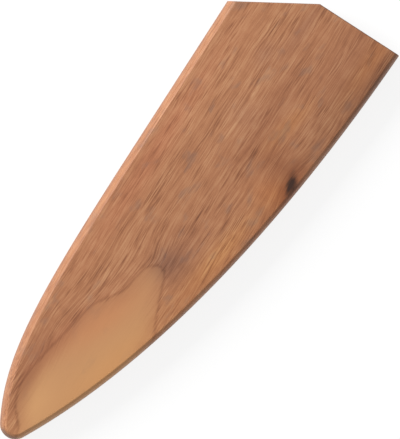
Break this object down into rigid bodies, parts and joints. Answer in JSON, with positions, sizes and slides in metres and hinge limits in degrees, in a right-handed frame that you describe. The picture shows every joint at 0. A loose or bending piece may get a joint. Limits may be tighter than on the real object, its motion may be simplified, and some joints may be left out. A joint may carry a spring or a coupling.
{
  "type": "knife blade guard",
  "caption": "Flat walnut slip-on guard for a chef's knife: a knife-shaped laminate with a blade slot between its boards and hidden holding magnets.",
  "frame": {"origin": "under the middle of the outline's box, on the flat back face", "axes": "+X along the blade slot from the tip to the mouth, +Y towards the knife's spine side, +Z out of the front face"},
  "size_m": [0.216, 0.0706, 0.014],
  "materials": {
    "walnut_board": "oiled satin walnut",
    "walnut_core": "oiled satin walnut",
    "nickel_plate": "bright nickel plate"
  },
  "bodies": {
    "root": {"front_board": "walnut_board", "back_board": "walnut_board", "spine_spacer": "walnut_core", "edge_spacer": "walnut_core", "front_magnet_heel": "nickel_plate", "front_magnet_mid": "nickel_plate", "front_magnet_tip": "nickel_plate", "back_magnet_heel": "nickel_plate", "back_magnet_mid": "nickel_plate", "back_magnet_tip": "nickel_plate"}
  },
  "joints": []
}
